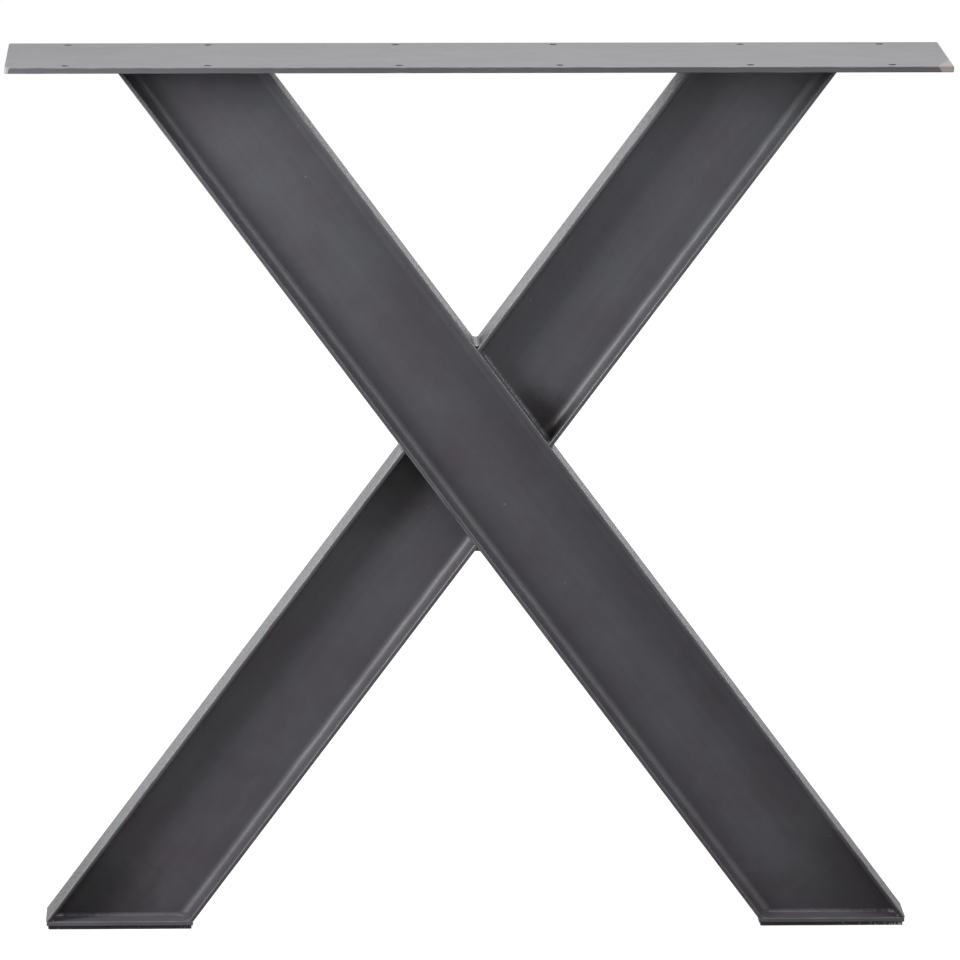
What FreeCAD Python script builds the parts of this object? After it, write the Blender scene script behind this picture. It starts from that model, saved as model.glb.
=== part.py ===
import FreeCAD, Part
import math
import os

# X shaped table leg, welded from rolled I-section beams.
# X runs along the mounting plate, Y across it and Z up. The origin is on the floor, under the
# middle of the mounting plate. All lengths are in millimetres.

# Overall stance
leg_height = 740.0  # floor to the top of the mounting plate
top_spread = 605.0  # across the beams' outer faces, where they meet the mounting plate
foot_spread = 728.0  # across the beams' outer tips, where they meet the foot plates

# Mounting plate
plate_length = 780.0
plate_width = 150.0
plate_thickness = 5.0
plate_corner_radius = 2.0
plate_edge_radius = 0.9

# Screw holes: two rows of six, mirrored about the middle
hole_diameter = 6.5
hole_row_margin = 12.0  # from the plate's long edge to the middle of a hole
hole_end_margin = 50.0  # from the plate's end to the outer hole
hole_end_pitch = 117.0  # from the outer hole to the next one
hole_middle_margin = 66.0  # from the plate's middle to the inner hole

# Light rolled beam with parallel flanges and large root fillets
section_height = 100.0
flange_width = 50.0
web_thickness = 3.6
flange_thickness = 3.8
root_radius = 8.2
toe_radius = 1.5
outer_edge_radius = 0.9

# Lower half of the short arm, welded on slightly out of line
lower_arm_step = 1.2

# Feet
foot_plate_thickness = 4.0
foot_plate_inset = 0.6
foot_plate_edge_radius = 0.8
pad_thickness = 3.0
pad_inset = 1.2

# Weld beads
upper_crotch_leg = 4.8
lower_crotch_leg = 6.5
side_crotch_leg = 2.6
web_bead_leg = 3.0
crotch_hollow = 0.16  # how far the bead's face sinks, as a share of its leg
web_bead_bulge = 0.10  # how far the bead's face swells, as a share of its leg
bead_end_gap = 0.4

# Levels and the lean of the beams
beam_low = pad_thickness + foot_plate_thickness
beam_high = leg_height - plate_thickness
beam_rise = beam_high - beam_low
beam_reach = (top_spread + foot_spread) / 2.0
lean = math.acos(section_height / math.hypot(beam_reach, beam_rise)) - math.atan2(
    beam_rise, beam_reach
)
beam_footprint = section_height / math.cos(lean)
top_axis_x = (top_spread - beam_footprint) / 2.0
crossing = FreeCAD.Vector(0, 0, beam_high - top_axis_x / math.tan(lean))

# Directions in the plane of the X: up along each arm, and square to each arm towards the right
up_long = FreeCAD.Vector(-math.sin(lean), 0, math.cos(lean))
up_short = FreeCAD.Vector(math.sin(lean), 0, math.cos(lean))
across_long = FreeCAD.Vector(math.cos(lean), 0, math.sin(lean))
across_short = FreeCAD.Vector(math.cos(lean), 0, -math.sin(lean))
arm_angle = 2.0 * lean
along_x = FreeCAD.Vector(1, 0, 0)
along_y = FreeCAD.Vector(0, 1, 0)
along_z = FreeCAD.Vector(0, 0, 1)


def web_clear_height():
    """Length of the web's flat face between the two root fillets."""
    return section_height - 2.0 * (flange_thickness + root_radius)


def beam_outline():
    """Sharp outline of the I section: height along X, flange width along Y."""
    half_height = section_height / 2.0
    inner_height = half_height - flange_thickness
    toe = flange_width / 2.0
    web = web_thickness / 2.0
    quarter = [(half_height, toe), (inner_height, toe), (inner_height, web)]
    right = quarter + [(-x, y) for x, y in reversed(quarter)]
    left = [(-x, -y) for x, y in right]
    points = [FreeCAD.Vector(x, y, 0) for x, y in right + left]
    return Part.Face(Part.makePolygon(points + points[:1]))


def long_edges(solid, x, y):
    """The lengthwise edges that lie at plus or minus x and plus or minus y."""
    tolerance = 1e-6
    found = []
    for edge in solid.Edges:
        middle = edge.CenterOfMass
        straight = edge.BoundBox.ZLength > section_height
        if straight and abs(abs(middle.x) - x) < tolerance and abs(abs(middle.y) - y) < tolerance:
            found.append(edge)
    return found


def rolled_beam():
    """A long straight length of beam about the origin, with its rolled fillets."""
    half_blank = (leg_height + section_height) / math.cos(lean)
    bar = beam_outline().extrude(along_z * (2.0 * half_blank))
    bar.translate(along_z * -half_blank)
    half_height = section_height / 2.0
    inner_height = half_height - flange_thickness
    toe = flange_width / 2.0
    bar = bar.makeFillet(root_radius, long_edges(bar, inner_height, web_thickness / 2.0))
    bar = bar.makeFillet(toe_radius, long_edges(bar, inner_height, toe))
    return bar.makeFillet(outer_edge_radius, long_edges(bar, half_height, toe))


def leaning(shape, angle, shift=FreeCAD.Vector(0, 0, 0)):
    """The shape turned about Y by the angle and carried to the crossing."""
    turned = shape.copy()
    turned.rotate(FreeCAD.Vector(0, 0, 0), along_y, math.degrees(angle))
    turned.translate(crossing + shift)
    return turned


def level_slice(shape):
    """The part of the shape between the foot plates and the mounting plate."""
    reach = 2.0 * (plate_length + foot_spread)
    block = Part.makeBox(reach, reach, beam_rise, FreeCAD.Vector(-reach / 2, -reach / 2, beam_low))
    return shape.common(block).Solids[0]


def long_beam_envelope():
    """Solid bar as high as the long beam, from one outer flange face to the other."""
    length = 4.0 * (leg_height + section_height)
    width = 2.0 * flange_width
    corner = FreeCAD.Vector(-section_height / 2.0, -width / 2.0, -length / 2.0)
    return leaning(Part.makeBox(section_height, width, length, corner), -lean)


def make_long_beam():
    return level_slice(leaning(rolled_beam(), -lean))


def make_short_beam(shift, keep_upper):
    """One half of the short arm, coped square to the long beam's flange."""
    arm = leaning(rolled_beam(), lean, shift).cut(long_beam_envelope())
    halves = sorted(arm.Solids, key=lambda half: half.CenterOfMass.z)
    return level_slice(halves[-1] if keep_upper else halves[0])


def soft_block(length, width, height, corner_radius, edge_radius):
    """Plate centred on Z with its base at zero: rounded corners, then rounded rims."""
    block = Part.makeBox(length, width, height, FreeCAD.Vector(-length / 2, -width / 2, 0))
    upright = [edge for edge in block.Edges if edge.BoundBox.ZLength > height / 2.0]
    block = block.makeFillet(corner_radius, upright)
    rims = [edge for edge in block.Edges if edge.BoundBox.ZLength < height / 2.0]
    return block.makeFillet(edge_radius, rims)


def make_top_plate():
    plate = soft_block(
        plate_length, plate_width, plate_thickness, plate_corner_radius, plate_edge_radius
    )
    outer_hole_x = plate_length / 2.0 - hole_end_margin
    row_y = plate_width / 2.0 - hole_row_margin
    drills = []
    for hole_x in (hole_middle_margin, outer_hole_x - hole_end_pitch, outer_hole_x):
        for x in (-hole_x, hole_x):
            for y in (-row_y, row_y):
                start = FreeCAD.Vector(x, y, -plate_thickness)
                drills.append(Part.makeCylinder(hole_diameter / 2.0, 3.0 * plate_thickness, start))
    plate = plate.cut(drills)
    plate.translate(along_z * beam_high)
    return plate.Solids[0]


def foot_centre_x(side):
    """Middle of a beam's lower end: side is -1 for the left foot and 1 for the right one."""
    centre = side * (foot_spread - beam_footprint) / 2.0
    if side < 0:
        centre += lower_arm_step / math.cos(lean)
    return centre


def make_foot_plate(side):
    plate = soft_block(
        beam_footprint - 2.0 * foot_plate_inset,
        flange_width,
        foot_plate_thickness,
        foot_plate_edge_radius,
        foot_plate_edge_radius,
    )
    plate.translate(FreeCAD.Vector(foot_centre_x(side), 0, pad_thickness))
    return plate


def make_foot_pad(side):
    """Pad cut square from a strip, a little smaller all round than the foot plate."""
    length = beam_footprint - 2.0 * (foot_plate_inset + pad_inset)
    width = flange_width - 2.0 * pad_inset
    corner = FreeCAD.Vector(foot_centre_x(side) - length / 2.0, -width / 2.0, 0)
    return Part.makeBox(length, width, pad_thickness, corner)


def weld_bead(start, run, side_a, side_b, leg, swell):
    """Fillet weld along run: two flat legs in a corner and a face that swells or sinks."""
    toe_a = start + side_a * leg
    toe_b = start + side_b * leg
    outward = (side_a + side_b).normalize()
    crown = (toe_a + toe_b) * 0.5 + outward * (swell * leg)
    outline = Part.Wire(
        [
            Part.LineSegment(start, toe_a).toShape(),
            Part.Arc(toe_a, crown, toe_b).toShape(),
            Part.LineSegment(toe_b, start).toShape(),
        ]
    )
    return Part.Face(outline).extrude(run)


def crotch_point(long_side, short_offset):
    """Where an outer face of the long beam meets an outer face of the short arm."""
    height = long_side * section_height / 2.0
    slide = (height * math.cos(arm_angle) - short_offset) / math.sin(arm_angle)
    return crossing + across_long * height + up_long * slide


def make_crotch_bead(long_side, short_side, step, leg):
    """Bead across the flanges in one of the four corners of the crossing."""
    offset = short_side * section_height / 2.0 + step
    run_length = flange_width - 2.0 * outer_edge_radius
    start = crotch_point(long_side, offset) - along_y * (run_length / 2.0)
    along_long = up_long * -short_side
    along_short = up_short * long_side
    return weld_bead(start, along_y * run_length, along_long, along_short, leg, -crotch_hollow)


def make_crossing_web_beads(long_side, step):
    """Beads on both faces of a short beam's web, where it meets the long beam's flange."""
    half_run = web_clear_height() / 2.0 / math.sin(arm_angle)
    half_run -= web_bead_leg / math.tan(arm_angle) + bead_end_gap
    middle = crotch_point(long_side, step)
    beads = []
    for face in (-1, 1):
        start = middle + along_y * (face * web_thickness / 2.0) - up_long * half_run
        run = up_long * (2.0 * half_run)
        outward = across_long * long_side
        beads.append(weld_bead(start, run, outward, along_y * face, web_bead_leg, web_bead_bulge))
    return beads


def make_crossing_welds():
    beads = [
        make_crotch_bead(1, -1, 0.0, upper_crotch_leg),
        make_crotch_bead(1, 1, 0.0, side_crotch_leg),
        make_crotch_bead(-1, -1, lower_arm_step, side_crotch_leg),
        make_crotch_bead(-1, 1, lower_arm_step, lower_crotch_leg),
    ]
    beads += make_crossing_web_beads(1, 0.0)
    beads += make_crossing_web_beads(-1, lower_arm_step)
    return Part.Compound(beads)


def make_level_web_beads(centre_x, level, towards):
    """Beads on both faces of a web, where a beam ends on a level plate."""
    half_run = web_clear_height() / 2.0 / math.cos(lean)
    half_run -= web_bead_leg * math.tan(lean) + bead_end_gap
    beads = []
    for face in (-1, 1):
        start = FreeCAD.Vector(centre_x - half_run, face * web_thickness / 2.0, level)
        run = along_x * (2.0 * half_run)
        beads.append(
            weld_bead(start, run, along_z * towards, along_y * face, web_bead_leg, web_bead_bulge)
        )
    return beads


def make_top_welds():
    beads = make_level_web_beads(-top_axis_x, beam_high, -1)
    beads += make_level_web_beads(top_axis_x, beam_high, -1)
    return Part.Compound(beads)


def make_foot_welds(side):
    return Part.Compound(make_level_web_beads(foot_centre_x(side), beam_low, 1))


no_shift = FreeCAD.Vector(0, 0, 0)
nodes = {
    "top_plate": make_top_plate(),
    "long_beam": make_long_beam(),
    "upper_short_beam": make_short_beam(no_shift, True),
    "lower_short_beam": make_short_beam(across_short * lower_arm_step, False),
    "left_foot_plate": make_foot_plate(-1),
    "right_foot_plate": make_foot_plate(1),
    "left_foot_pad": make_foot_pad(-1),
    "right_foot_pad": make_foot_pad(1),
    "crossing_welds": make_crossing_welds(),
    "left_foot_welds": make_foot_welds(-1),
    "right_foot_welds": make_foot_welds(1),
    "top_welds": make_top_welds(),
}

os.makedirs("parts", exist_ok=True)
for name, shape in nodes.items():
    shape.exportStep("parts/" + name + ".step")
    print(name, "solids", len(shape.Solids), "valid", shape.isValid(), round(shape.Volume, 1))
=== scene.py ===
import math

import bpy
import numpy as np
from mathutils import Euler, Matrix, Vector


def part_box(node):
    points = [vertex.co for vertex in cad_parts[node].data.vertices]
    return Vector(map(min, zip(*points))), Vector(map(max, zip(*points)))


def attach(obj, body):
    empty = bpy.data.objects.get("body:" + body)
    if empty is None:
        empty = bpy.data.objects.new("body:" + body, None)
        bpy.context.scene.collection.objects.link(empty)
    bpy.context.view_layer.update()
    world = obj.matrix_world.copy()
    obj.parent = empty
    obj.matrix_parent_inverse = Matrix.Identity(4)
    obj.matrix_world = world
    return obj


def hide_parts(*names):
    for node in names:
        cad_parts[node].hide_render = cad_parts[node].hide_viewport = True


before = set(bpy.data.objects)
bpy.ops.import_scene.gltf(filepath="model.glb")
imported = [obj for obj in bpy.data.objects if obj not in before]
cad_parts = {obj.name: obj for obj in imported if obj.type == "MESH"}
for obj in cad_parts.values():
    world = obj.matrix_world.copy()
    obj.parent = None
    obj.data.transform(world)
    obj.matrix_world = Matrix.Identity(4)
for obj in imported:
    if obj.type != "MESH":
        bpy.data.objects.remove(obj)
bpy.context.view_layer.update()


# Long beam: one continuous length of light rolled I-section steel, 100 by 50, from the upper
# left to the lower right. Both ends are sawn level. The large soft fillets are as rolled.
beam_height = 0.100
beam_width = 0.050
web_thickness = 0.0036
flange_thickness = 0.0038
root_radius = 0.0082
toe_radius = 0.0015
rim_radius = 0.0009
web_swell = 0.00006
fillet_swell = 0.00022
bell_width = 0.45
row_step = 0.006
fading_rows = 3

long_low, long_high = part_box("long_beam")
beam_reach = long_high.x - long_low.x
beam_rise = long_high.z - long_low.z
lean = math.acos(beam_height / math.hypot(beam_reach, beam_rise)) - math.atan2(
    beam_rise, beam_reach
)
footprint = beam_height / math.cos(lean)
crossing = np.array([0.0, 0.0, long_high.z + (long_low.x + footprint / 2) / math.tan(lean)])
up_long = np.array([-math.sin(lean), 0.0, math.cos(lean)])
up_short = np.array([math.sin(lean), 0.0, math.cos(lean)])
across_long = np.array([math.cos(lean), 0.0, math.sin(lean)])
across_short = np.array([math.cos(lean), 0.0, -math.sin(lean)])
_, along_y, along_z = np.eye(3)


def unit(vector):
    """The vector divided by its own length."""
    return vector / np.linalg.norm(vector)


def straight(start, end, stations):
    """Points start + (end - start) * station, for stations between 0 and 1."""
    return start + np.outer(stations, end - start)


def rounded(corner, towards_a, towards_b, radius, count):
    """Fillet arc in a corner of angle phi: its middle lies radius / sin(phi / 2) along the
    bisector, and the arc turns from the tangent point on side a to the one on side b."""
    phi = math.acos(float(np.dot(towards_a, towards_b)))
    middle = corner + unit(towards_a + towards_b) * radius / math.sin(phi / 2)
    reach = radius / math.tan(phi / 2)
    first = (corner + towards_a * reach - middle) / radius
    last = (corner + towards_b * reach - middle) / radius
    sweep = math.acos(float(np.dot(first, last)))
    share = np.linspace(0, 1, count)[:, None]
    turned = np.sin((1 - share) * sweep) * first + np.sin(share * sweep) * last
    return middle + turned / math.sin(sweep) * radius


def beam_outline():
    """One quarter of the I, from mid flange round the toe to mid web, then mirrored twice.
    Gives the closed loop of (height, width) points and how worn each point is, 0 to 1; the same
    value sets where an edge highlight is painted."""
    top, toe, web = beam_height / 2, beam_width / 2, web_thickness / 2
    inner = top - flange_thickness
    down, out = np.array([-1.0, 0.0]), np.array([0.0, 1.0])
    rim = rounded(np.array([top, toe]), -out, down, rim_radius, 6)
    nose = rounded(np.array([inner, toe]), -down, -out, toe_radius, 8)
    root = rounded(np.array([inner, web]), out, down, root_radius, 24)
    face = straight(np.array([top, 0.0]), rim[0], np.array([0, 0.35, 0.7, 0.96]))
    side = straight(rim[-1], nose[0], np.array([0.3, 0.7]))
    under = straight(nose[-1], root[0], np.array([0.04, 0.35, 0.65, 0.96]))
    wall = straight(root[-1], np.array([0.0, web]), np.array([0.015, 0.12, 0.3, 0.5, 0.75, 1]))
    quarter = np.vstack([face, rim, side, nose, under, root, wall])
    worn = np.zeros(len(quarter))
    worn[3:12] = [0.3, 0.7, 1, 1, 1, 1, 0.8, 0.4, 0.3]
    worn[12:16] = [0.3, 0.2, 0.15, 0.1]
    half = np.vstack([quarter, (quarter * [-1, 1])[-2::-1]])
    half_worn = np.concatenate([worn, worn[-2::-1]])
    loop = np.vstack([half, (half * [1, -1])[-2:0:-1]])
    return loop, np.concatenate([half_worn, half_worn[-2:0:-1]])


def swells(along, across, seed, shortest=0.035, longest=0.16, count=9):
    """Soft unevenness of a rolled face: a sum of slow waves with seeded lengths and phases."""
    chance = np.random.default_rng(seed)
    total = np.zeros(np.broadcast(along, across).shape)
    for _ in range(count):
        length = chance.uniform(shortest, longest)
        tilt = chance.uniform(-0.5, 0.5)
        phase = chance.uniform(0, 2 * np.pi)
        total += np.cos(2 * np.pi * (along + tilt * across) / length + phase)
    return total / math.sqrt(count)


def closed_grid(rows, around, shift=0):
    """Quads of a tube with the given rows of points, and its two flat ends."""
    row, spot = np.meshgrid(np.arange(rows - 1), np.arange(around), indexing="ij")
    here, beside = row * around + spot, row * around + (spot + 1) % around
    quads = np.stack([here, beside, beside + around, here + around], axis=-1).reshape(-1, 4)
    first_end = np.arange(around)[::-1]
    last_end = np.arange(around) + (rows - 1) * around
    return (quads + shift).tolist() + [(first_end + shift).tolist(), (last_end + shift).tolist()]


def store(mesh, name, values):
    """Keeps one value for each point of a mesh as a named attribute, for its material."""
    flat = np.ascontiguousarray(values).ravel()
    mesh.attributes.new(name, "FLOAT", "POINT").data.foreach_set("value", flat)


def new_piece(node, points, faces, worn=None, crease=35):
    """Mesh object on the root body that stands for a node, with creases where faces turn more."""
    name = node + "_finished"
    mesh = bpy.data.meshes.new(name)
    mesh.from_pydata(np.asarray(points).tolist(), [], faces)
    if worn is not None:
        store(mesh, "wear", worn)
    mesh.validate()
    mesh.polygons.foreach_set("use_smooth", np.ones(len(mesh.polygons), dtype=bool))
    mesh.set_sharp_from_angle(angle=math.radians(crease))
    piece = bpy.data.objects.new(name, mesh)
    bpy.context.collection.objects.link(piece)
    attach(piece, "root")
    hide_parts(node)
    return piece


def rolled_beam(node, up, across, shift, low_plane, high_plane, seed):
    """The I outline carried along the beam's axis. Each outline point starts where its line
    meets the low plane and ends where it meets the high plane, so both ends are cut true. The
    web swells out and in, and the root fillets grow and shrink by a bell curve about them.
    The mesh also stores where the root fillets and the outer flange faces are."""
    outline, outline_wear = beam_outline()
    feet = crossing + shift + np.outer(outline[:, 0], across) + np.outer(outline[:, 1], along_y)
    ends = []
    for point, normal in (low_plane, high_plane):
        ends.append((point - feet) @ normal / float(normal @ up))
    rows = 2 + int(np.mean(ends[1] - ends[0]) / row_step)
    share = np.linspace(0, 1, rows)[:, None]
    along = ends[0] + share * (ends[1] - ends[0])
    fade = np.clip(np.minimum(share, 1 - share) * (rows - 1) / fading_rows, 0, 1)
    inner = np.abs(outline[:, 1]) < beam_width / 2 - toe_radius
    inner &= np.abs(outline[:, 0]) < beam_height / 2 - rim_radius
    lift = swells(along, outline[:, 0], seed) * web_swell * inner * fade
    facing, side = np.sign(outline[:, 1]), np.sign(outline[:, 0])
    root = np.array([beam_height / 2 - flange_thickness, web_thickness / 2])
    to_root = np.linalg.norm(np.abs(outline) - root, axis=1) / root_radius
    bell = np.exp(-((to_root / bell_width) ** 2)) * inner * fade
    growth = np.zeros_like(along)
    for quarter, corner in enumerate(((1, 1), (1, -1), (-1, 1), (-1, -1))):
        mine = (side == corner[0]) & (facing == corner[1])
        growth += mine * swells(along, 0.0, seed + 100 + quarter, 0.012, 0.07)
    growth *= bell * fillet_swell
    points = feet + along[..., None] * up + ((lift + growth) * facing)[..., None] * along_y
    points -= (growth * side)[..., None] * across
    worn = np.broadcast_to(outline_wear, along.shape)
    faces = closed_grid(rows, len(outline))
    piece = new_piece(node, points.reshape(-1, 3), faces, worn)
    fillet = np.clip((1.2 - to_root) / 0.3, 0, 1) * inner
    outside = 1.0 * (np.abs(outline[:, 0]) > beam_height / 2 - rim_radius / 4)
    store(piece.data, "scale", np.broadcast_to(fillet, along.shape))
    store(piece.data, "outer", np.broadcast_to(outside, along.shape))
    return piece


floor_cut = (np.array([0, 0, long_low.z]), along_z)
ceiling_cut = (np.array([0, 0, long_high.z]), along_z)
still = np.zeros(3)
long_beam = rolled_beam("long_beam", up_long, across_long, still, floor_cut, ceiling_cut, 11)


def feed(tree, socket, value):
    """Links the value to the socket where it is a socket too, and sets it there otherwise."""
    if isinstance(value, bpy.types.NodeSocket):
        tree.links.new(value, socket)
    else:
        socket.default_value = value


def add(tree, kind, inputs=None, **settings):
    """A node of the kind with its settings, its inputs set to values or linked to sockets."""
    node = tree.nodes.new(kind)
    for name, value in settings.items():
        setattr(node, name, value)
    for name, value in (inputs or {}).items():
        feed(tree, node.inputs[name], value)
    return node


def math_of(tree, operation, first, second=0.0, third=None, clamp=False):
    """Output of a Math node on sockets or plain numbers."""
    values = {0: first, 1: second}
    if third is not None:
        values[2] = third
    return add(tree, "ShaderNodeMath", values, operation=operation, use_clamp=clamp).outputs[0]


def spread(tree, value, low, high, to_low=0.0, to_high=1.0, ease="LINEAR"):
    """Output of a clamped Map Range node."""
    values = {"Value": value, "From Min": low, "From Max": high}
    values.update({"To Min": to_low, "To Max": to_high})
    return add(tree, "ShaderNodeMapRange", values, interpolation_type=ease).outputs["Result"]


def blended(tree, share, first, second, mode="MIX"):
    """Colour output of a Mix node."""
    node = add(tree, "ShaderNodeMix", data_type="RGBA", blend_type=mode)
    for spot, value in ((0, share), (6, first), (7, second)):
        feed(tree, node.inputs[spot], value)
    return node.outputs[2]


def new_group(name, inputs, outputs):
    """Empty shader node group with named sockets, each given as (name, kind, default)."""
    tree = bpy.data.node_groups.new(name, "ShaderNodeTree")
    for label, kind, default in inputs:
        socket = tree.interface.new_socket(label, in_out="INPUT", socket_type=kind)
        if default is not None:
            socket.default_value = default
    for label, kind in outputs:
        tree.interface.new_socket(label, in_out="OUTPUT", socket_type=kind)
    return tree, tree.nodes.new("NodeGroupInput").outputs, tree.nodes.new("NodeGroupOutput").inputs


def lacquer_film_group():
    """Sprayed satin lacquer: broad clouds of tone, faint streaks along the piece's own Z, and
    the orange peel with soft lumps of a sprayed film."""
    tree, given, made = new_group(
        "lacquer_film",
        [("Vector", "NodeSocketVector", None), ("Cloud Scale", "NodeSocketFloat", 14.0)],
        [
            ("Clouds", "NodeSocketFloat"),
            ("Streaks", "NodeSocketFloat"),
            ("Peel", "NodeSocketFloat"),
        ],
    )
    streak_stretch = (210.0, 210.0, 7.0)
    lump_scale = 120.0
    peel_scale = 1100.0
    peel_share = 0.6
    place = given["Vector"]
    broad = add(
        tree,
        "ShaderNodeTexNoise",
        {"Vector": place, "Scale": given["Cloud Scale"], "Detail": 5.0, "Roughness": 0.66},
    )
    drawn = add(
        tree, "ShaderNodeVectorMath", {0: place, 1: streak_stretch}, operation="MULTIPLY"
    ).outputs[0]
    streaks = add(tree, "ShaderNodeTexNoise", {"Vector": drawn, "Scale": 1.0, "Detail": 3.0})
    lumps = add(tree, "ShaderNodeTexNoise", {"Vector": place, "Scale": lump_scale, "Detail": 2.0})
    peel = add(tree, "ShaderNodeTexNoise", {"Vector": place, "Scale": peel_scale, "Detail": 2.0})
    height = math_of(tree, "MULTIPLY_ADD", peel.outputs[0], peel_share, lumps.outputs[0])
    tree.links.new(broad.outputs[0], made["Clouds"])
    tree.links.new(streaks.outputs[0], made["Streaks"])
    tree.links.new(height, made["Peel"])
    return tree


def stray_marks_group():
    """Marks of handling: small specks that sit in a few of many cells, and hairline scratches
    that run in one drawn-out direction inside a few soft patches."""
    tree, given, made = new_group(
        "stray_marks",
        [
            ("Vector", "NodeSocketVector", None),
            ("Speck Scale", "NodeSocketFloat", 60.0),
            ("Speck Share", "NodeSocketFloat", 0.12),
            ("Scratch Share", "NodeSocketFloat", 0.4),
        ],
        [
            ("Specks", "NodeSocketFloat"),
            ("Pits", "NodeSocketFloat"),
            ("Scratches", "NodeSocketFloat"),
        ],
    )
    scratch_turn = (0.3, 0.75, 0.2)
    scratch_stretch = (1500.0, 1500.0, 22.0)
    patch_scale = 17.0
    place = given["Vector"]
    cells = add(tree, "ShaderNodeTexVoronoi", {"Vector": place, "Scale": given["Speck Scale"]})
    dots = spread(tree, cells.outputs["Distance"], 0.035, 0.075, 1.0, 0.0)
    chance = add(tree, "ShaderNodeSeparateColor", {0: cells.outputs["Color"]})
    picked = math_of(tree, "LESS_THAN", chance.outputs[0], given["Speck Share"])
    picked_pit = math_of(tree, "LESS_THAN", chance.outputs[1], given["Speck Share"])
    tree.links.new(math_of(tree, "MULTIPLY", dots, picked), made["Specks"])
    tree.links.new(math_of(tree, "MULTIPLY", dots, picked_pit), made["Pits"])
    turned = add(tree, "ShaderNodeMapping", {"Vector": place, "Rotation": scratch_turn}).outputs[0]
    drawn = add(
        tree, "ShaderNodeVectorMath", {0: turned, 1: scratch_stretch}, operation="MULTIPLY"
    ).outputs[0]
    hairs = add(tree, "ShaderNodeTexNoise", {"Vector": drawn, "Scale": 1.0, "Detail": 0.0})
    patches = add(
        tree, "ShaderNodeTexNoise", {"Vector": place, "Scale": patch_scale, "Detail": 1.0}
    )
    thin = spread(tree, hairs.outputs[0], 0.72, 0.80)
    inside = spread(tree, patches.outputs[0], 0.55, 0.68)
    scratches = math_of(tree, "MULTIPLY", thin, inside)
    scratches = math_of(tree, "MULTIPLY", scratches, given["Scratch Share"])
    tree.links.new(scratches, made["Scratches"])
    return tree


def edge_wear_and_highlight_group():
    """Lacquer rubbed thin along an edge, with a painted highlight along it: the wear value broken
    up by noise into short runs.
    """
    tree, given, made = new_group(
        "edge_wear_and_highlight",
        [
            ("Vector", "NodeSocketVector", None),
            ("Wear", "NodeSocketFloat", 0.0),
            ("Amount", "NodeSocketFloat", 0.5),
        ],
        [("Mask", "NodeSocketFloat")],
    )
    run_scale = 55.0
    place = given["Vector"]
    runs = add(tree, "ShaderNodeTexNoise", {"Vector": place, "Scale": run_scale, "Detail": 5.0})
    level = math_of(tree, "MULTIPLY_ADD", runs.outputs[0], 0.9, -0.62)
    level = math_of(tree, "ADD", level, math_of(tree, "MULTIPLY", given["Wear"], given["Amount"]))
    tree.links.new(spread(tree, level, 0.12, 0.30), made["Mask"])
    return tree


def painted_shade_patch_group():
    """Painted shade: a soft dark patch round one spot, laid into the lacquer's colour where corners
    lie in shade, with an edge that the clouds of the film pull about."""
    tree, given, made = new_group(
        "painted_shade_patch",
        [
            ("Vector", "NodeSocketVector", None),
            ("Spot", "NodeSocketVector", None),
            ("Reach", "NodeSocketFloat", 0.05),
            ("Depth", "NodeSocketFloat", 0.8),
            ("Clouds", "NodeSocketFloat", 0.5),
        ],
        [("Mask", "NodeSocketFloat")],
    )
    away = add(
        tree, "ShaderNodeVectorMath", {0: given["Vector"], 1: given["Spot"]}, operation="DISTANCE"
    ).outputs["Value"]
    near = math_of(tree, "DIVIDE", away, given["Reach"])
    near = math_of(tree, "ADD", near, math_of(tree, "MULTIPLY_ADD", given["Clouds"], 0.7, -0.35))
    soft = spread(tree, near, 0.15, 1.0, 1.0, 0.0, "SMOOTHSTEP")
    tree.links.new(math_of(tree, "MULTIPLY", soft, given["Depth"]), made["Mask"])
    return tree


lacquer_film = lacquer_film_group()
stray_marks = stray_marks_group()
edge_wear_and_highlight = edge_wear_and_highlight_group()
painted_shade_patch = painted_shade_patch_group()
lacquer_ior = 1.5
film_depth = 0.0004
grain_scale = 340.0
grain_dullness = 0.24
pit_darkness = 0.45
mark_strength = 0.55
rub_and_highlight_strength = 0.5
# Colour of the painted shade patches that darken corners lying in shade.
painted_shade_colour = (0.014, 0.010, 0.011, 1.0)
lacquer_colour = (0.073, 0.0745, 0.084, 1.0)
lacquer_shade = (0.078, 0.067, 0.080, 1.0)
# Pale colour of rubbed lacquer and handling marks, also used for painted edge highlights.
rubbed_and_highlight_colour = (0.20, 0.195, 0.20, 1.0)


def group_node(tree, group, inputs):
    """A node that places the group with its own input values."""
    node = tree.nodes.new("ShaderNodeGroup")
    node.node_tree = group
    for name, value in inputs.items():
        feed(tree, node.inputs[name], value)
    return node.outputs


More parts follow.
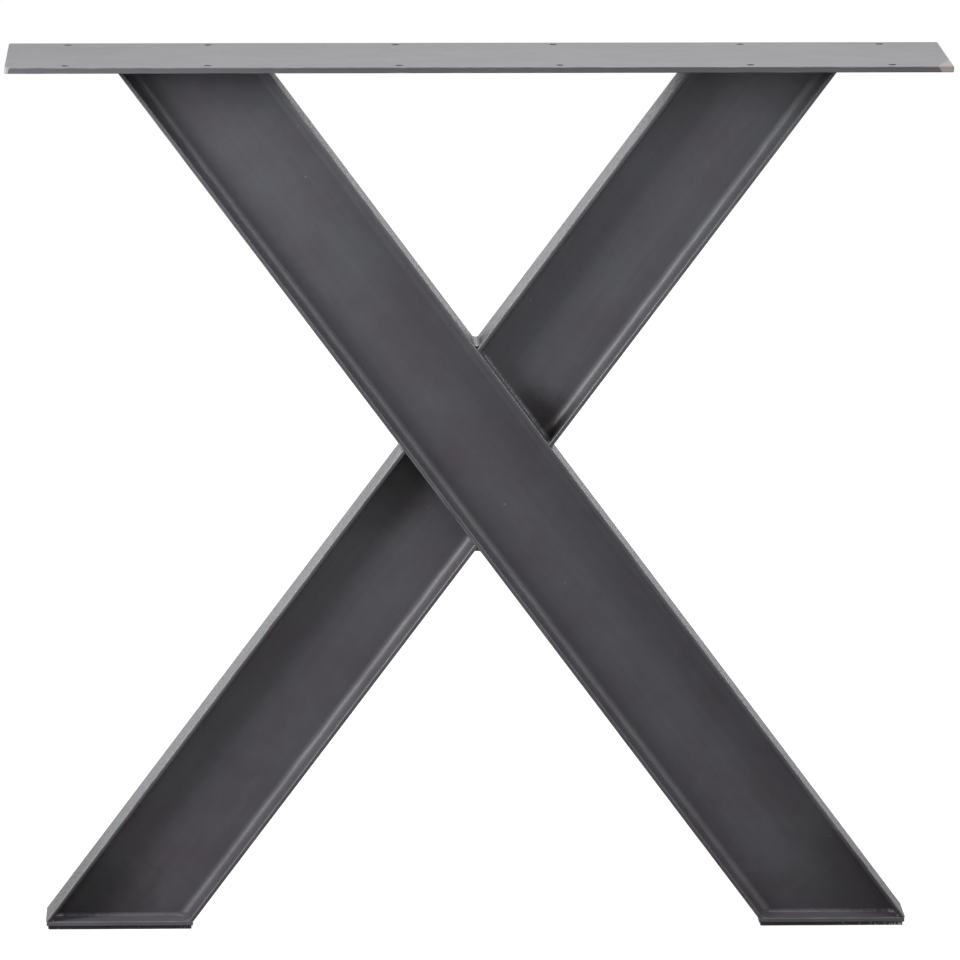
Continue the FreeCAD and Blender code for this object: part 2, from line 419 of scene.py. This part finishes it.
def lacquered(
    name,
    turn,
    wear=None,
    shine=0.35,
    lumps=0.35,
    drawn=0.05,
    cloudy=0.18,
    cloud_scale=14.0,
    pale=1.0,
    scale_left=0.0,
    painted_shade=(),
):
    """Material of the satin lacquer. Turn is the angle about Y that brings the piece's length
    onto Z, wear is a function that gives the worn-edge socket, which lays rubbed lacquer together
    with a painted edge highlight, drawn and cloudy are how far the streaks along the length and the
    clouds change the tone, pale is the mean tone, scale_left is how much duller the film is over
    the mill scale of a beam's root fillets, where its outer flange faces also get a grain, and the
    last argument lists spots of painted shade with their reach and depth."""
    material = bpy.data.materials.new(name)
    material.use_nodes = True
    tree = material.node_tree
    shader = tree.nodes["Principled BSDF"]
    place = add(tree, "ShaderNodeTexCoord").outputs["Object"]
    turned = add(tree, "ShaderNodeMapping", {"Vector": place, "Rotation": (0.0, turn, 0.0)})
    turned = turned.outputs[0]
    film = group_node(tree, lacquer_film, {"Vector": turned, "Cloud Scale": cloud_scale})
    marks = group_node(tree, stray_marks, {"Vector": turned})
    dark, light = pale * (1 - cloudy), pale * (1 + cloudy)
    tone = spread(tree, film["Clouds"], 0.2, 0.8, dark, light, "SMOOTHSTEP")
    streaks = spread(tree, film["Streaks"], 0.3, 0.7, 1 - drawn, 1 + drawn)
    tone = math_of(tree, "MULTIPLY", tone, streaks)
    tone = math_of(tree, "MULTIPLY_ADD", marks["Pits"], -pit_darkness, tone)
    hue = spread(tree, film["Clouds"], 0.25, 0.6, 1.0, 0.0, "SMOOTHSTEP")
    height_above = add(tree, "ShaderNodeSeparateXYZ", {0: place}).outputs[2]
    hue = math_of(tree, "ADD", hue, spread(tree, height_above, 0.0, 0.5, 0.35, 0.0), clamp=True)
    if scale_left:
        outer = add(tree, "ShaderNodeAttribute", attribute_name="outer").outputs["Fac"]
        hue = math_of(tree, "SUBTRACT", hue, outer, clamp=True)
    base = blended(tree, hue, lacquer_colour, lacquer_shade)
    base = blended(tree, 1.0, base, tone, "MULTIPLY")
    # Painted shade: dark patches laid into the base colour round the listed spots.
    for spot, reach, depth in painted_shade:
        patch = {"Vector": place, "Spot": tuple(spot), "Reach": reach, "Depth": depth}
        dark = group_node(tree, painted_shade_patch, {**patch, "Clouds": film["Clouds"]})["Mask"]
        base = blended(tree, dark, base, painted_shade_colour)
    light_marks = math_of(tree, "MAXIMUM", marks["Specks"], marks["Scratches"], clamp=True)
    light_marks = math_of(tree, "MULTIPLY", light_marks, mark_strength)
    base = blended(tree, light_marks, base, rubbed_and_highlight_colour)
    dull, glossy = shine + cloudy / 3, shine - cloudy / 3
    rough = spread(tree, film["Clouds"], 0.2, 0.8, dull, glossy, "SMOOTHSTEP")
    if scale_left:
        scaly = add(tree, "ShaderNodeAttribute", attribute_name="scale").outputs["Fac"]
        rough = math_of(tree, "MULTIPLY_ADD", scaly, scale_left, rough)
        grain = add(
            tree, "ShaderNodeTexNoise", {"Vector": turned, "Scale": grain_scale, "Detail": 4.0}
        ).outputs[0]
        grain = spread(tree, grain, 0.42, 0.60, 0.0, grain_dullness)
        rough = math_of(tree, "MULTIPLY_ADD", outer, grain, rough)
    if wear is not None:
        # Rubbed edges: worn lacquer with a painted highlight, paler along the rims.
        edge_rub_and_highlight = group_node(tree, edge_wear_and_highlight, {"Vector": turned, "Wear": wear(tree, place)})["Mask"]
        base = blended(tree, math_of(tree, "MULTIPLY", edge_rub_and_highlight, rub_and_highlight_strength), base, rubbed_and_highlight_colour)
        rough = math_of(tree, "MULTIPLY_ADD", edge_rub_and_highlight, 0.04, rough)
    height = math_of(tree, "MULTIPLY_ADD", marks["Specks"], 0.5, film["Peel"])
    bump = add(
        tree, "ShaderNodeBump", {"Strength": lumps, "Distance": film_depth, "Height": height}
    )
    tree.links.new(base, shader.inputs["Base Color"])
    tree.links.new(rough, shader.inputs["Roughness"])
    tree.links.new(bump.outputs[0], shader.inputs["Normal"])
    shader.inputs["IOR"].default_value = lacquer_ior
    return material


def stored_wear_and_highlight(tree, place):
    """The wear value that is stored on a mesh, which sets rubbed edges and their painted highlight.
    """
    return add(tree, "ShaderNodeAttribute", attribute_name="wear").outputs["Fac"]


fillet_dullness = 0.10
# Painted shade in the corner by the right foot.
right_foot_painted_shade = (crossing - up_long * 0.510 + across_long * 0.028, 0.110, 0.50)
long_beam.data.materials.append(
    lacquered(
        "lacquer_long_beam",
        lean,
        stored_wear_and_highlight,
        scale_left=fillet_dullness,
        painted_shade=[right_foot_painted_shade],
    )
)


# Short beams: the other arm, made as two halves of the same section. Each is sawn level at its
# outer end and butted on the long beam's flange. The lower half sits about a millimetre low.
left_plate_low, left_plate_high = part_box("left_foot_plate")
right_plate_low, right_plate_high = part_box("right_foot_plate")
lower_arm_step = (
    left_plate_low.x + left_plate_high.x + right_plate_low.x + right_plate_high.x
) / 2 * math.cos(lean)
step_shift = across_short * lower_arm_step
upper_face = (crossing + across_long * beam_height / 2, across_long)
lower_face = (crossing - across_long * beam_height / 2, across_long)
upper_short_beam = rolled_beam(
    "upper_short_beam", up_short, across_short, still, upper_face, ceiling_cut, 23
)
lower_short_beam = rolled_beam(
    "lower_short_beam", up_short, across_short, step_shift, floor_cut, lower_face, 37
)
# Painted shade in the corners beside the crossing and by the left foot.
short_beam_painted_shade = [
    (crossing + up_short * 0.048 + across_short * 0.042, 0.040, 0.95),
    (crossing + up_short * 0.050 + across_short * 0.016, 0.024, 0.60),
    (crossing - up_short * 0.056 - across_short * 0.034, 0.044, 0.62),
    (crossing - up_short * 0.092 - across_short * 0.032, 0.044, 0.48),
    (crossing - up_short * 0.512 - across_short * 0.036, 0.085, 0.75),
]
short_lacquer = lacquered(
    "lacquer_short_beams", -lean, stored_wear_and_highlight, scale_left=fillet_dullness, painted_shade=short_beam_painted_shade
)
for piece in (upper_short_beam, lower_short_beam):
    piece.data.materials.append(short_lacquer)


# Crossing welds: arc weld beads in the four corners where the flanges cross, and all round the
# inside of each short beam's end. They are laid by hand, so ripples and width wander.
upper_crotch_leg = 0.0048
lower_crotch_leg = 0.0065
side_crotch_leg = 0.0026
web_bead_leg = 0.0030
crotch_hollow = -0.16
web_bead_bulge = 0.10
ripple_pitch = 0.0021
ripple_lag = 0.0012
bead_step = 0.0004
bead_root_depth = 0.0003
arm_angle = 2 * lean


def evenly(line, step, *sides):
    """How far along each of the equal steps of a line lies, the points of the line there, and
    the directions that go with them, all found by linear interpolation over the length."""
    travel = np.concatenate([[0], np.cumsum(np.linalg.norm(np.diff(line, axis=0), axis=1))])
    stations = np.linspace(0, travel[-1], 2 + int(travel[-1] / step))
    rows = [np.broadcast_to(values, line.shape) for values in (line, *sides)]
    found = [
        np.stack([np.interp(stations, travel, row[:, axis]) for axis in range(3)], axis=1)
        for row in rows
    ]
    return stations, *found


def weld_bead(line, side_a, side_b, leg, swell, seed, pocket=0.0):
    """Bead along a corner line, between side a and side b. Across, the face is the chord between
    the two toes plus a parabola of the swell. Along, the leg is the full leg times a rounded
    taper at both ends, slow wandering and the ripple of the cooled pool. A pocket leaves the
    corner open under the bead's first end, as deep as that share of the leg."""
    chance = np.random.default_rng(seed)
    s, corner, side_a, side_b = evenly(line, bead_step, side_a, side_b)
    t = np.linspace(0, 1, 9)[None, :]
    to_end = np.minimum(s, s[-1] - s)[:, None] / leg
    end_size = 0.35 if pocket == 0 else 0.9
    taper = end_size + (1 - end_size) * np.sqrt(1 - (1 - np.clip(to_end, 0, 1)) ** 2)
    wander = np.zeros_like(taper)
    for wave in (0.006, 0.011, 0.027):
        wander += np.cos(2 * np.pi * s[:, None] / wave + chance.uniform(0, 2 * np.pi)) / 3
    lag = ripple_lag * 4 * t * (1 - t)
    ripple = np.abs(np.sin(np.pi * (s[:, None] + lag) / ripple_pitch))
    size = leg * taper * (0.84 + 0.09 * wander + 0.06 * ripple)
    lift = size * swell * 4 * t * (1 - t)
    outward = side_a + side_b
    outward = outward / np.linalg.norm(outward, axis=1)[:, None]
    face = corner[:, None] + (size * (1 - t))[..., None] * side_a[:, None]
    face = face + (size * t)[..., None] * side_b[:, None] + lift[..., None] * outward[:, None]
    opening = pocket * leg * np.clip(1 - s / (1.5 * leg), 0, 1)[:, None]
    root = corner + outward * (opening - bead_root_depth)
    points = np.concatenate([face, root[:, None, :]], axis=1)
    run = corner[1] - corner[0]
    if np.dot(np.cross(side_a[0], side_b[0]), run) < 0:
        points = points[:, ::-1]
    return points


def bead_piece(node, beads):
    """All the beads of one weld node as one mesh, each a closed tube."""
    points, faces, count = [], [], 0
    for bead in beads:
        points.append(bead.reshape(-1, 3))
        faces += closed_grid(bead.shape[0], bead.shape[1], count)
        count += len(points[-1])
    return new_piece(node, np.vstack(points), faces, crease=50)


def crotch_point(long_side, offset):
    """Where an outer face of the long beam meets a plane at this offset across the short arm."""
    height = long_side * beam_height / 2
    slide = (height * math.cos(arm_angle) - offset) / math.sin(arm_angle)
    return crossing + across_long * height + up_long * slide


def crotch_bead(long_side, short_side, step, leg, seed, pocket=0.0):
    """Bead across the flanges in one corner of the crossing."""
    offset = short_side * beam_height / 2 + step
    run = along_y * (beam_width - 2 * rim_radius)
    start = crotch_point(long_side, offset) - run / 2
    line = np.stack([start, start + run])
    sides = (up_long * -short_side, up_short * long_side)
    return weld_bead(line, *sides, leg, crotch_hollow, seed, pocket)


def spatter(line, climbing, outward, count, seed):
    """Drops of weld spatter stuck on a web beside its bead: flattened balls of 0.2 to 0.5 mm,
    each a stack of rings of radius r * sin(a) at the height r * 0.6 * cos(a) over the face."""
    chance = np.random.default_rng(seed)
    drops = []
    latitude = np.linspace(np.pi - 0.12, 0.12, 6)[:, None, None]
    turn = np.linspace(0, 2 * np.pi, 8, endpoint=False)[None, :, None]
    along = unit(line[-1] - line[0])
    beside = np.cross(outward, along)
    for _ in range(count):
        radius = chance.uniform(0.0002, 0.0005)
        spot = line[0] + (line[-1] - line[0]) * chance.uniform(0.05, 0.95)
        spot = spot + climbing * chance.uniform(0.0035, 0.016)
        ring = along * np.cos(turn) + beside * np.sin(turn)
        ball = spot + radius * np.sin(latitude) * ring
        ball = ball + radius * 0.6 * np.cos(latitude) * outward
        drops.append(ball)
    return drops


def channel_bead(up, across, shift, plane, face, seed):
    """Bead round the inside of a beam's channel, where the beam stands on a plane: from one
    flange's toe along the flange, round the fillet, along the web and out on the other flange.
    One side of the bead climbs the beam, the other lies in the plane, square to the line. A
    few drops of spatter go with it."""
    outline, _ = beam_outline()
    half = outline[: len(outline) // 2 + 1]
    within = (np.abs(half[:, 0]) < beam_height / 2 - rim_radius) & (
        half[:, 1] < beam_width / 2 - toe_radius
    )
    inside = half[within] * [1, face]
    feet = crossing + shift + np.outer(inside[:, 0], across) + np.outer(inside[:, 1], along_y)
    point, normal = plane
    line = feet + np.outer((point - feet) @ normal / float(normal @ up), up)
    climbing = up * np.sign(float(normal @ up))
    on_web = line[np.abs(inside[:, 1]) < web_thickness / 2 + 1e-6]
    drops = spatter(on_web, climbing, along_y * face, 6, seed + 200)
    _, line = evenly(line, bead_step)
    tangent = np.gradient(line, axis=0)
    tangent = tangent / np.linalg.norm(tangent, axis=1)[:, None]
    level = np.cross(normal, tangent)
    level = level * np.sign(float(level[len(level) // 2] @ along_y) * face)
    return [weld_bead(line, climbing, level, web_bead_leg, web_bead_bulge, seed)] + drops


crossing_welds = bead_piece(
    "crossing_welds",
    [
        crotch_bead(1, -1, 0, upper_crotch_leg, 1, pocket=0.55),
        crotch_bead(1, 1, 0, side_crotch_leg, 2),
        crotch_bead(-1, -1, lower_arm_step, side_crotch_leg, 3),
        crotch_bead(-1, 1, lower_arm_step, lower_crotch_leg, 4),
        *channel_bead(up_short, across_short, still, upper_face, -1, 5),
        *channel_bead(up_short, across_short, still, upper_face, 1, 6),
        *channel_bead(up_short, across_short, step_shift, (lower_face[0], -lower_face[1]), -1, 7),
        *channel_bead(up_short, across_short, step_shift, (lower_face[0], -lower_face[1]), 1, 8),
    ],
)
bead_lacquer = lacquered("lacquer_on_weld_beads", 0.0, shine=0.36, lumps=0.5)
crossing_welds.data.materials.append(bead_lacquer)


# Top plate: flat bar 780 by 150 by 5 with twelve drilled holes, laid on the beams' sawn tops.
# Its rims are eased and lacquered, worn pale with a painted highlight along them. The front right
# corner is chipped to the bare steel, and the front left one carries a painted highlight.
plate_low, plate_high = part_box("top_plate")
bare_colour = (0.21, 0.185, 0.178, 1.0)
chip_size = (0.0135, 0.044, 0.018)
left_corner_highlight_size = (0.0042, 0.010, 0.014)
plate_hollow = 2.0


def box_rim_group():
    """How near a point of a box is to the box's edges: the second smallest of the three
    distances to the faces is zero on an edge."""
    tree, given, made = new_group(
        "box_rim",
        [
            ("Vector", "NodeSocketVector", None),
            ("Middle", "NodeSocketVector", (0.0, 0.0, 0.0)),
            ("Half Size", "NodeSocketVector", (1.0, 1.0, 1.0)),
            ("Reach", "NodeSocketFloat", 0.002),
        ],
        [("Rim", "NodeSocketFloat")],
    )
    from_middle = add(
        tree, "ShaderNodeVectorMath", {0: given["Vector"], 1: given["Middle"]}, operation="SUBTRACT"
    ).outputs[0]
    size = add(tree, "ShaderNodeVectorMath", {0: from_middle}, operation="ABSOLUTE").outputs[0]
    inside = add(
        tree, "ShaderNodeVectorMath", {0: given["Half Size"], 1: size}, operation="SUBTRACT"
    ).outputs[0]
    x, y, z = add(tree, "ShaderNodeSeparateXYZ", {0: inside}).outputs
    low = math_of(tree, "MINIMUM", x, y)
    high = math_of(tree, "MAXIMUM", x, y)
    middle = math_of(tree, "MAXIMUM", low, math_of(tree, "MINIMUM", high, z))
    tree.links.new(spread(tree, middle, 0.0, given["Reach"], 1.0, 0.0), made["Rim"])
    return tree


box_rim = box_rim_group()


def rim_wear_and_highlight(low, high, reach):
    """Wear socket for a box-shaped piece between two corners: rubbed rims that also carry a painted
    edge highlight.
    """
    middle, half = (low + high) / 2, (high - low) / 2

    def wear(tree, place):
        values = {"Vector": place, "Middle": middle, "Half Size": half, "Reach": reach}
        return group_node(tree, box_rim, values)["Rim"]

    return wear


plate_lacquer = lacquered(
    "lacquer_top_plate",
    math.pi / 2,
    rim_wear_and_highlight(plate_low, plate_high, 0.0016),
    shine=0.40,
    lumps=0.12,
    drawn=0.01,
    cloudy=0.14,
    cloud_scale=8.0,
)


def hollow_edges(material, low, high, hollow):
    """Edge faces that lie a little deeper at mid height, by a parabola of the height."""
    tree = material.node_tree
    place = add(tree, "ShaderNodeTexCoord").outputs["Object"]
    z = add(tree, "ShaderNodeSeparateXYZ", {0: place}).outputs[2]
    share = spread(tree, z, low.z, high.z, -1.0, 1.0)
    bump = tree.nodes["Bump"]
    height = bump.inputs["Height"].links[0].from_socket
    square = math_of(tree, "MULTIPLY", share, share)
    height = math_of(tree, "MULTIPLY_ADD", square, hollow, height)
    tree.links.new(height, bump.inputs["Height"])


hollow_edges(plate_lacquer, plate_low, plate_high, plate_hollow)


def corner_patch(material, corner, size, depth, colour):
    """A patch of the given colour where the shares of the three sizes, measured from the corner,
    add up to less than one, with a ragged and lifted edge of lacquer: bare metal at a chipped
    corner, and a painted highlight where the colour is pale."""
    tree = material.node_tree
    shader = tree.nodes["Principled BSDF"]
    place = add(tree, "ShaderNodeTexCoord").outputs["Object"]
    away = add(
        tree, "ShaderNodeVectorMath", {0: place, 1: corner}, operation="SUBTRACT"
    ).outputs[0]
    shares = add(
        tree, "ShaderNodeVectorMath", {0: away, 1: [1 / s for s in size]}, operation="MULTIPLY"
    ).outputs[0]
    sides = add(tree, "ShaderNodeVectorMath", {0: shares}, operation="ABSOLUTE").outputs[0]
    reach = add(
        tree, "ShaderNodeVectorMath", {0: sides, 1: (1.0, 1.0, 1.0)}, operation="DOT_PRODUCT"
    ).outputs["Value"]
    ragged = add(tree, "ShaderNodeTexNoise", {"Vector": place, "Scale": 240.0, "Detail": 4.0})
    reach = math_of(tree, "MULTIPLY_ADD", ragged.outputs[0], 0.5, reach)
    bare = spread(tree, reach, 1.22, 1.28, 1.0, 0.0)
    grains = add(tree, "ShaderNodeTexNoise", {"Vector": place, "Scale": 900.0, "Detail": 5.0})
    steel = blended(tree, grains.outputs[0], colour, [c * 1.35 for c in colour[:3]] + [1.0])
    painted = shader.inputs["Base Color"].links[0].from_socket
    tree.links.new(blended(tree, bare, painted, steel), shader.inputs["Base Color"])
    rough = shader.inputs["Roughness"].links[0].from_socket
    rough = math_of(tree, "MULTIPLY_ADD", bare, 0.15, rough)
    tree.links.new(rough, shader.inputs["Roughness"])
    bump = shader.inputs["Normal"].links[0].from_node
    height = bump.inputs["Height"].links[0].from_socket
    height = math_of(tree, "MULTIPLY_ADD", bare, -depth, height)
    tree.links.new(height, bump.inputs["Height"])


front_right = (plate_high.x, plate_low.y, plate_high.z)
front_left = (plate_low.x, plate_low.y, plate_high.z)
corner_patch(plate_lacquer, front_right, chip_size, 0.5, bare_colour)
# Painted highlight at the front left corner: a small pale patch where its rounded edge catches the
# light.
corner_patch(plate_lacquer, front_left, left_corner_highlight_size, 0.3, rubbed_and_highlight_colour)
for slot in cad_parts["top_plate"].material_slots:
    slot.material = plate_lacquer


# Top welds: beads round the inside of both channels of each beam, under the mounting plate.
under_plate = (ceiling_cut[0], -along_z)
top_welds = bead_piece(
    "top_welds",
    [
        *channel_bead(up_long, across_long, still, under_plate, -1, 31),
        *channel_bead(up_long, across_long, still, under_plate, 1, 32),
        *channel_bead(up_short, across_short, still, under_plate, -1, 33),
        *channel_bead(up_short, across_short, still, under_plate, 1, 34),
    ],
)
top_welds.data.materials.append(bead_lacquer)


# Foot plates: 4 mm steel flats that close the beams' slanted lower ends, lacquered with them.
for node in ("left_foot_plate", "right_foot_plate"):
    low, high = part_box(node)
    name = "lacquer_" + node.replace("_plate", "")
    foot_lacquer = lacquered(name, math.pi / 2, rim_wear_and_highlight(low, high, 0.0014), pale=1.3)
    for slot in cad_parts[node].material_slots:
        slot.material = foot_lacquer


# Foot welds: beads round the inside of both channels of each beam, on the foot plates.
left_foot_welds = bead_piece(
    "left_foot_welds",
    [
        *channel_bead(up_short, across_short, step_shift, floor_cut, -1, 51),
        *channel_bead(up_short, across_short, step_shift, floor_cut, 1, 52),
    ],
)
right_foot_welds = bead_piece(
    "right_foot_welds",
    [
        *channel_bead(up_long, across_long, still, floor_cut, -1, 61),
        *channel_bead(up_long, across_long, still, floor_cut, 1, 62),
    ],
)
for piece in (left_foot_welds, right_foot_welds):
    piece.data.materials.append(bead_lacquer)


# Foot pads: strips of 3 mm black rubber, knife-cut and glued under the foot plates. The cut
# edge wanders a little. The right-hand ends are scuffed pale where the leg was dragged.
pad_corner = 0.0012
corner_points = 24
outline_step = 0.0008
cut_wander = 0.00030
scuff_reach = {"left_foot_pad": 0.011, "right_foot_pad": 0.075}


def cut_strip(node, seed):
    """A rectangle with rounded corners, carried up through the pad's thickness. The cut moves
    inwards by seeded slow waves round the outline, and the rims are eased top and bottom.
    Each point also holds how scuffed it is, which fades away from the pad's right end."""
    low, high = (np.array(corner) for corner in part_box(node))
    middle, half = (low + high) / 2, (high - low) / 2
    arms = half[:2] - pad_corner
    angle = (np.arange(corner_points) + 0.25) * 2 * np.pi / corner_points
    arc = np.stack([np.cos(angle), np.sin(angle)], axis=1)
    corners = arc * pad_corner + np.sign(arc) * arms
    ring = np.vstack([corners, corners[:1]])
    _, outline = evenly(np.column_stack([ring, np.zeros(len(ring))]), outline_step)
    outline = outline[:-1, :2]
    chance = np.random.default_rng(seed)
    travel = np.linspace(0, 2 * np.pi, len(outline), endpoint=False)
    heights = np.array([0, 0.04, 0.12, 0.3, 0.5, 0.7, 0.88, 0.96, 1.0])
    eased = np.array([0.0004, 0.00012, 0.00002, 0, 0, 0, 0.00004, 0.0002, 0.0006])
    waver = np.zeros((len(heights), len(outline)))
    for cycles in (7, 16, 29, 53, 88):
        slide = chance.uniform(0, 6.3) + chance.uniform(-1.5, 1.5) * heights[:, None]
        waver += np.cos(cycles * travel + slide) / cycles**0.4
    inset = cut_wander * (waver - waver.min()) / (waver.max() - waver.min()) + eased[:, None]
    flat = outline * (1 - inset[..., None] / half[:2])
    z = np.broadcast_to((low[2] + heights * (high[2] - low[2]))[:, None], inset.shape)
    points = np.concatenate([flat + middle[:2], z[..., None]], axis=2)
    scuffed = np.clip(1 - (high[0] - points[..., 0]) / scuff_reach[node], 0, 1)
    faces = closed_grid(len(heights), len(outline))
    return new_piece(node, points.reshape(-1, 3), faces, scuffed)


def rubber_material():
    """Black rubber: dusty clouds and fine pores, with pale scuffs where the wear value is high."""
    material = bpy.data.materials.new("black_pad_rubber")
    material.use_nodes = True
    tree = material.node_tree
    shader = tree.nodes["Principled BSDF"]
    place = add(tree, "ShaderNodeTexCoord").outputs["Object"]
    film = group_node(tree, lacquer_film, {"Vector": place, "Cloud Scale": 60.0})
    marks = group_node(
        tree, stray_marks, {"Vector": place, "Speck Scale": 260.0, "Speck Share": 0.2}
    )
    base = blended(
        tree,
        spread(tree, film["Clouds"], 0.35, 0.7),
        (0.014, 0.014, 0.015, 1.0),
        (0.032, 0.031, 0.033, 1.0),
    )
    scuffed = add(tree, "ShaderNodeAttribute", attribute_name="wear").outputs["Fac"]
    flakes = add(
        tree, "ShaderNodeTexNoise", {"Vector": place, "Scale": 620.0, "Detail": 3.0}
    ).outputs[0]
    level = math_of(tree, "MULTIPLY_ADD", scuffed, 0.23, flakes)
    scuffs = spread(tree, level, 0.68, 0.76)
    light = math_of(tree, "MAXIMUM", scuffs, math_of(tree, "MULTIPLY", marks["Specks"], 0.5))
    base = blended(tree, math_of(tree, "MULTIPLY", light, 0.8), base, (0.42, 0.41, 0.41, 1.0))
    pores = add(tree, "ShaderNodeTexNoise", {"Vector": place, "Scale": 1500.0, "Detail": 3.0})
    height = math_of(tree, "MULTIPLY_ADD", pores.outputs[0], 0.5, film["Peel"])
    height = math_of(tree, "MULTIPLY_ADD", scuffs, -0.6, height)
    bump = add(tree, "ShaderNodeBump", {"Strength": 0.5, "Distance": 0.0004, "Height": height})
    tree.links.new(base, shader.inputs["Base Color"])
    tree.links.new(spread(tree, film["Clouds"], 0.3, 0.7, 0.62, 0.80), shader.inputs["Roughness"])
    tree.links.new(bump.outputs[0], shader.inputs["Normal"])
    return material


pad_rubber = rubber_material()
for node, seed in (("left_foot_pad", 71), ("right_foot_pad", 72)):
    cut_strip(node, seed).data.materials.append(pad_rubber)


# Studio: a camera at eye height with a long lens, a white floor and ground, and soft boxes in
# front, at both sides and behind.
camera_place = Vector((-0.21292, -6.26095, 1.60025))
camera_yaw, camera_pitch, camera_roll = 0.03456, 0.19229, -0.00315
camera_lens = 285.35
floor_half = 14.0
floor_gap = 0.0002
floor_grey = (0.25, 0.25, 0.25, 1.0)
mirrored_white = 0.88

camera = bpy.data.objects.new("studio_camera", bpy.data.cameras.new("studio_camera"))
bpy.context.collection.objects.link(camera)
camera.data.sensor_width = 36.0
camera.data.lens = camera_lens
camera.data.clip_start, camera.data.clip_end = 0.1, 100.0
view_turn = Euler((math.pi / 2 - camera_pitch, 0.0, -camera_yaw), "XYZ").to_matrix()
view_turn = view_turn @ Matrix.Rotation(-camera_roll, 3, "Z")
camera.matrix_world = Matrix.Translation(camera_place) @ view_turn.to_4x4()
bpy.context.scene.camera = camera


def soft_box(name, place, aim, width, height, power):
    """Area lamp at a place, aimed at a point. Power is in watts."""
    data = bpy.data.lights.new(name, "AREA")
    data.shape = "RECTANGLE"
    data.size, data.size_y = width, height
    data.energy = power
    lamp = bpy.data.objects.new(name, data)
    bpy.context.collection.objects.link(lamp)
    turn = (Vector(aim) - Vector(place)).to_track_quat("-Z", "Y")
    lamp.matrix_world = Matrix.Translation(place) @ turn.to_matrix().to_4x4()
    lamp.visible_camera = False
    return lamp


aim = (0.0, 0.0, 0.4)
soft_box("close_left_box", (-0.85, -0.55, 0.95), aim, 0.35, 0.35, 9.8)
soft_box("left_box", (-1.35, -0.95, 0.75), aim, 0.5, 0.5, 4.8)
soft_box("far_left_box", (-1.6, -0.5, 0.7), aim, 0.8, 0.8, 6.3)
soft_box("front_box", (0.05, -0.9, 1.05), aim, 0.35, 0.35, 1.6)
soft_box("front_right_box", (0.9, -1.0, 1.6), aim, 0.8, 0.8, 9.2)
soft_box("low_front_right_box", (0.9, -1.2, 0.45), aim, 0.7, 0.7, 1.3)
soft_box("close_right_box", (0.85, -0.5, 0.75), aim, 0.35, 0.35, 1.2)
soft_box("right_box", (1.6, -0.5, 0.7), aim, 0.8, 0.8, 2.1)
soft_box("back_left_box", (-2.3, 2.3, 1.6), aim, 1.5, 1.5, 60.0)
soft_box("back_box", (0.28, 2.25, 3.08), aim, 1.5, 1.5, 48.5)
soft_box("back_right_box", (2.3, 2.3, 1.6), aim, 1.5, 1.5, 45.0)

floor_mesh = bpy.data.meshes.new("studio_floor")
floor_signs = [(-1, -1), (1, -1), (1, 1), (-1, 1)]
floor_corners = [(x * floor_half, y * floor_half, -floor_gap) for x, y in floor_signs]
floor_mesh.from_pydata(floor_corners, [], [(0, 1, 2, 3)])
studio_floor = bpy.data.objects.new("studio_floor", floor_mesh)
bpy.context.collection.objects.link(studio_floor)
floor_paint = bpy.data.materials.new("white_floor")
floor_paint.use_nodes = True
tree = floor_paint.node_tree
shader = tree.nodes["Principled BSDF"]
shader.inputs["Base Color"].default_value = floor_grey
shader.inputs["Roughness"].default_value = 0.9
shader.inputs["Specular IOR Level"].default_value = 0.0
seen = add(tree, "ShaderNodeLightPath").outputs["Is Camera Ray"]
place = add(tree, "ShaderNodeTexCoord").outputs["Object"]
away = add(tree, "ShaderNodeVectorMath", {0: place}, operation="LENGTH").outputs["Value"]
glow = spread(tree, away, 0.8, 2.5, 0.90, 1.0)
shader.inputs["Emission Color"].default_value = (1, 1, 1, 1)
tree.links.new(math_of(tree, "MULTIPLY", seen, glow), shader.inputs["Emission Strength"])
floor_mesh.materials.append(floor_paint)

world = bpy.data.worlds.new("white_studio")
bpy.context.scene.world = world
world.use_nodes = True
tree = world.node_tree
ray = add(tree, "ShaderNodeLightPath").outputs
seen = math_of(tree, "MULTIPLY_ADD", ray["Is Glossy Ray"], mirrored_white, ray["Is Camera Ray"])
background = tree.nodes["Background"]
background.inputs["Color"].default_value = (1, 1, 1, 1)
tree.links.new(seen, background.inputs["Strength"])

bpy.context.scene.view_settings.view_transform = "Standard"
